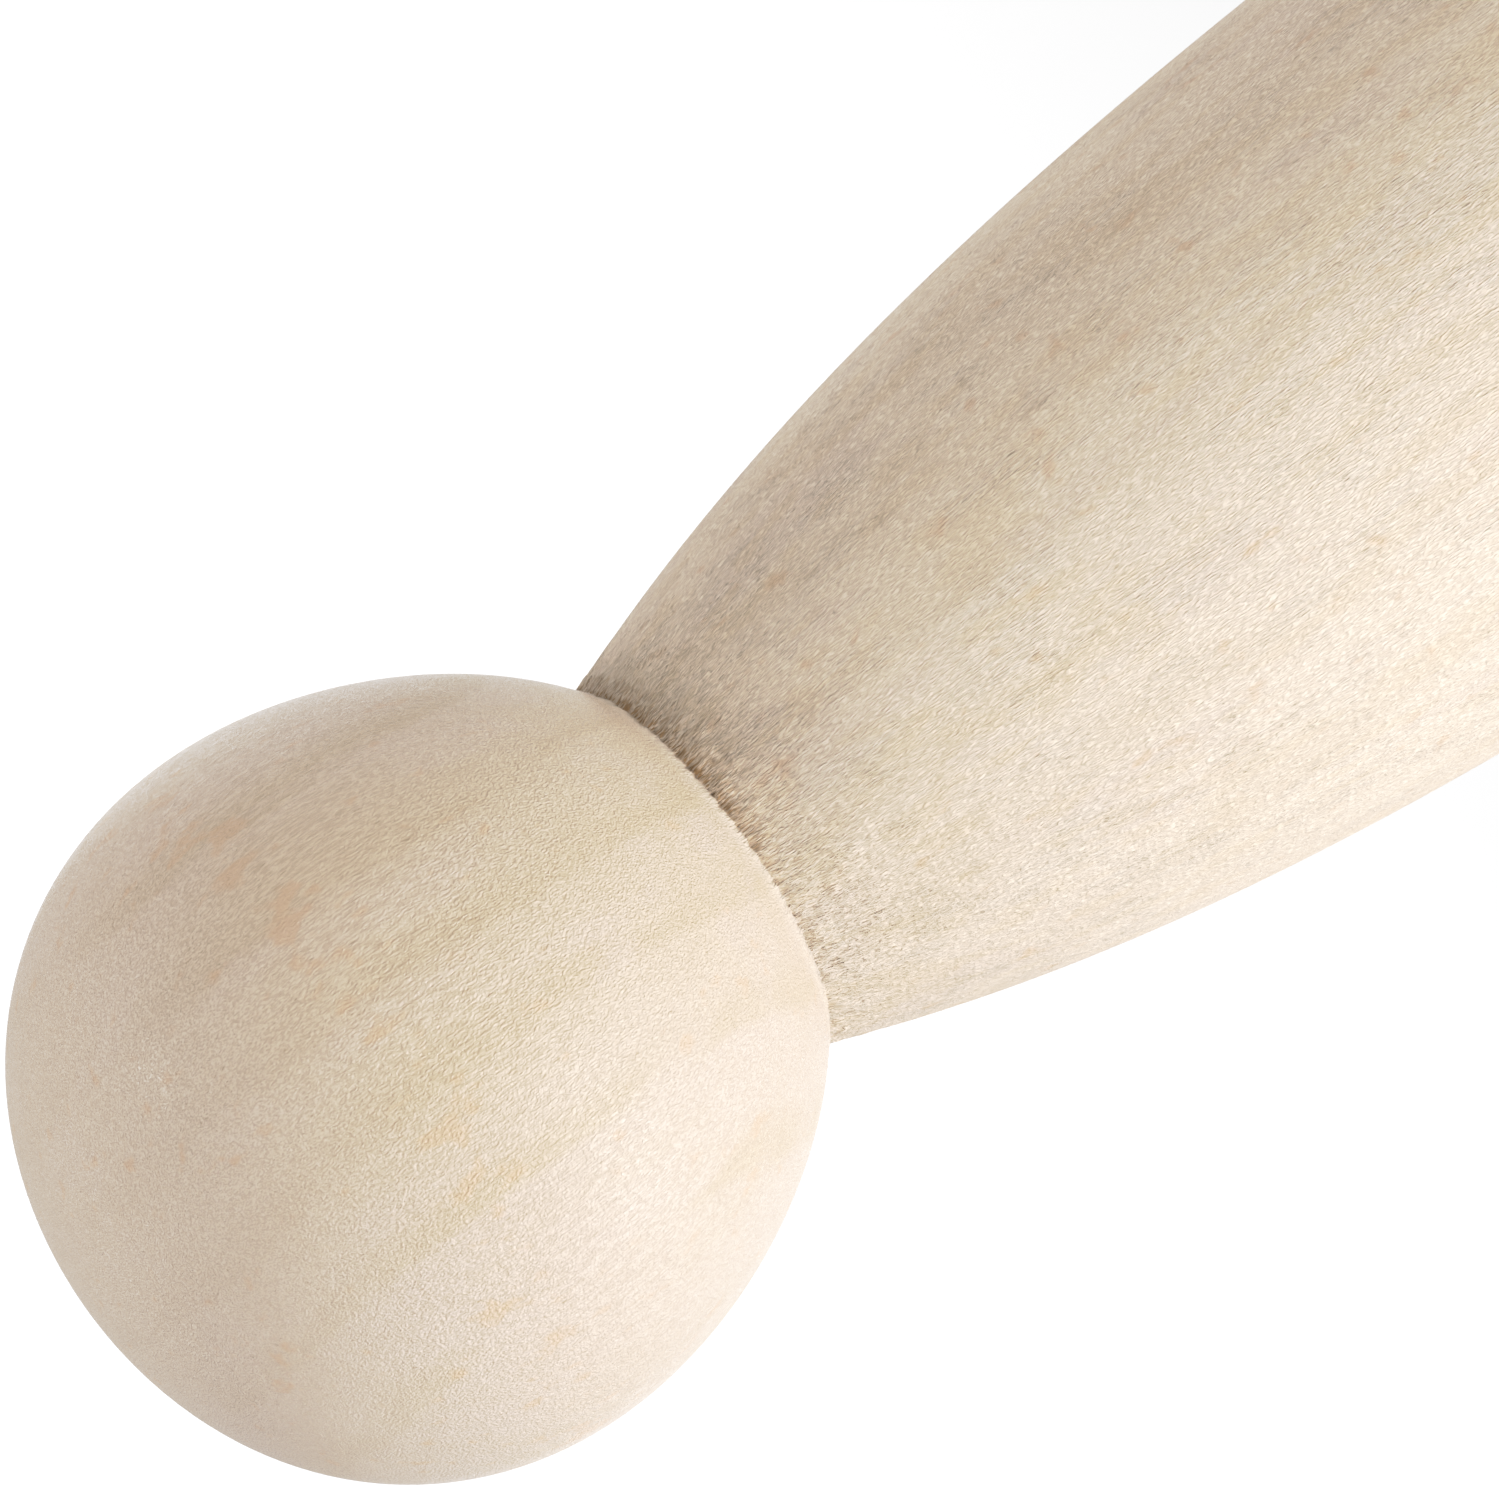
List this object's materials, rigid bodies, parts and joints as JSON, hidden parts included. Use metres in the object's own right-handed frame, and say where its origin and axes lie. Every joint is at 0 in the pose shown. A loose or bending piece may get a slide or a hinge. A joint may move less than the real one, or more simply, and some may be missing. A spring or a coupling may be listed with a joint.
{
  "type": "wooden bar muddler",
  "caption": "Turned wooden muddler: ball knob on a sharp V-cut neck, and a body that swells into a thick straight shaft with a flat crushing face.",
  "frame": {"origin": "centre of the flat crushing face, on which the muddler stands", "axes": "+Z along the turned axis, from the flat face up to the ball knob; the shape is round, so +X and +Y only say where the grain lies"},
  "size_m": [0.041, 0.041, 0.21],
  "materials": {
    "raw_wood": "raw sanded hardwood, no varnish, satin where the knife burnished it"
  },
  "bodies": {
    "root": {"muddler": "raw_wood"}
  },
  "joints": []
}
